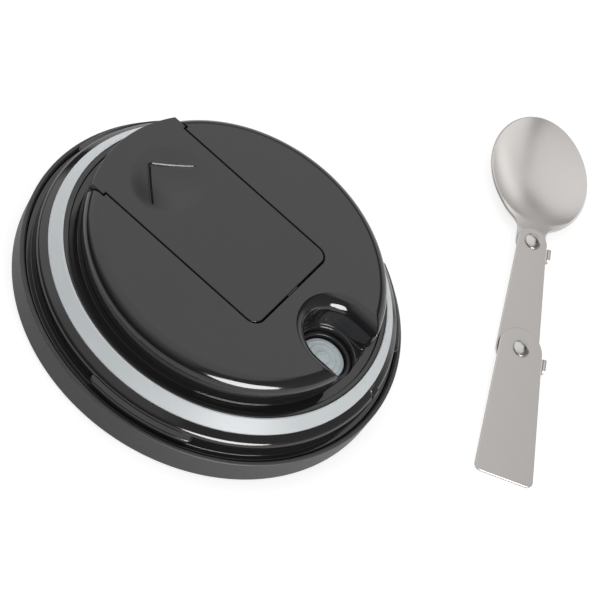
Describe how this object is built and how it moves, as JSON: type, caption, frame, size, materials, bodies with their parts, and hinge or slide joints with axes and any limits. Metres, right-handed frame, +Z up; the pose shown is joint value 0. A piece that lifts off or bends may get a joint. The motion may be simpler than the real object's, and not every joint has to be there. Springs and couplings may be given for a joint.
{
  "type": "insulated food jar lid with folding spoon",
  "caption": "Screw-in jar lid with a sliding door over its spoon compartment, a button-worked vent valve, and the folding spoon lying beside it.",
  "frame": {"origin": "centre of the cap's flat outer top, on which the lid lies", "axes": "+Z up from that face to the plug's face; -X the way the door slides out; +X towards the vent; the spoon lies towards +X and +Y"},
  "size_m": [0.1568, 0.1995, 0.0278],
  "materials": {
    "cap_plastic": "fine textured dark grey",
    "button_plastic": "fine textured dark grey",
    "lid_plastic": "glossy black",
    "door_plastic": "glossy black",
    "gasket_silicone": "smooth translucent bluish white",
    "vent_silicone": "smooth translucent pale blue",
    "seal_rubber": "matte black",
    "foam": "plain foam",
    "stem_plastic": "natural white",
    "spoon_steel": "satin stainless steel",
    "rivet_steel": "polished stainless steel",
    "spring_steel": "drawn stainless wire"
  },
  "bodies": {
    "lid": {"outer_cap": "cap_plastic", "threaded_collar": "lid_plastic", "inner_plug": "lid_plastic", "gasket_ring": "gasket_silicone", "collar_seal": "seal_rubber", "foam_core": "foam", "spoon_tray": "lid_plastic", "vent_seat": "seal_rubber", "vent_spring": "spring_steel"},
    "door": {"spoon_door": "door_plastic"},
    "vent": {"vent_button": "button_plastic", "vent_stem": "stem_plastic", "vent_seal": "vent_silicone"},
    "bowl": {"spoon_bowl": "spoon_steel", "rivet_upper": "rivet_steel", "washer_upper": "spoon_steel"},
    "link": {"spoon_link": "spoon_steel", "rivet_lower": "rivet_steel", "washer_lower": "spoon_steel"},
    "handle": {"spoon_handle": "spoon_steel"}
  },
  "joints": [
    {"name": "door_slide", "type": "slide", "parent": "lid", "child": "door", "axis": [-1, 0, 0], "range_m": [0, 0.062]},
    {"name": "vent_press", "type": "slide", "parent": "lid", "child": "vent", "axis": [0, 0, 1], "range_m": [0, 0.0018], "stiffness_N_per_m": 300, "springref_m": -0.003, "deforming": ["vent_spring"]},
    {"name": "spoon_lift", "type": "slide", "parent": "lid", "child": "bowl", "axis": [0, 0, 1], "range_m": [0, 0.1]},
    {"name": "spoon_fold_upper", "type": "hinge", "parent": "bowl", "child": "link", "pos_m": [0.05546, 0.09854, 0.00519], "axis": [0.038, -0.0746, 0.9965], "range_deg": [0, 180]},
    {"name": "spoon_fold_lower", "type": "hinge", "parent": "link", "child": "handle", "pos_m": [0.07388, 0.0624, 0.00298], "axis": [0.038, -0.0746, 0.9965], "range_deg": [0, 180]}
  ]
}
